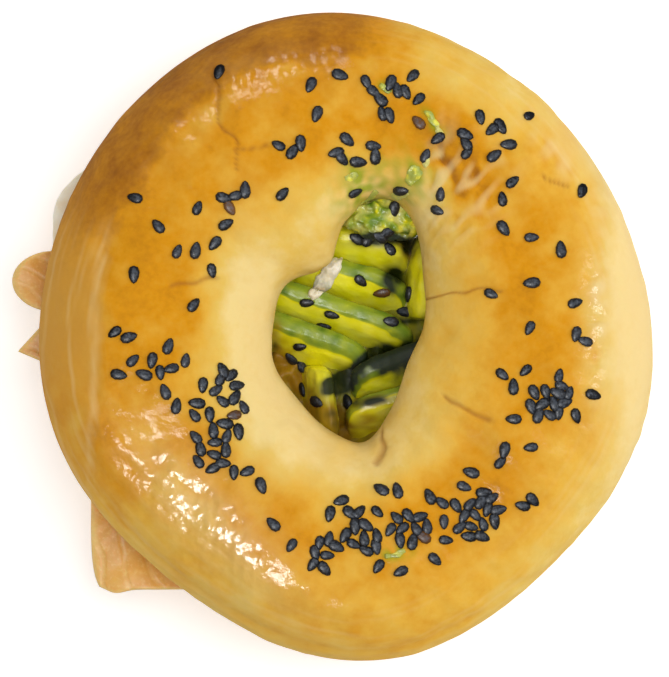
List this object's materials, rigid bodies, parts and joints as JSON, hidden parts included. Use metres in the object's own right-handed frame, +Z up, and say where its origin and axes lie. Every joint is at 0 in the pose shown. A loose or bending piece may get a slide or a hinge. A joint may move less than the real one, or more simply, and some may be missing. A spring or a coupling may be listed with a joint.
{
  "type": "lox bagel sandwich",
  "caption": "Round filled bagel with a glazed crust, black sesame, smoked salmon ends sticking out at one side, and sliced avocado showing in its hole.",
  "frame": {"origin": "on the surface it stands on, under the middle of its bounding box", "axes": "+Z up out of the crust; seen from above, +X is right and +Y is away from the viewer, with the salmon ends at -X"},
  "size_m": [0.1156, 0.1172, 0.0495],
  "materials": {
    "bagel_crust": "egg-washed baked crust, semi-gloss, golden tan",
    "cream_cheese": "soft satin spread, off-white",
    "smoked_salmon": "moist satin, tan orange with pale fat lines",
    "avocado": "moist satin, yellow flesh turning green at the skin side",
    "black_sesame": "satin, near black"
  },
  "bodies": {
    "root": {"bagel_bottom": "bagel_crust", "cream_cheese": "cream_cheese", "lox_1": "smoked_salmon", "lox_2": "smoked_salmon", "lox_3": "smoked_salmon", "lox_4": "smoked_salmon", "avocado_1": "avocado", "avocado_2": "avocado", "avocado_3": "avocado", "avocado_4": "avocado", "avocado_5": "avocado", "avocado_6": "avocado", "avocado_7": "avocado", "avocado_8": "avocado", "avocado_mash": "avocado", "bagel_top": "bagel_crust"}
  },
  "joints": []
}
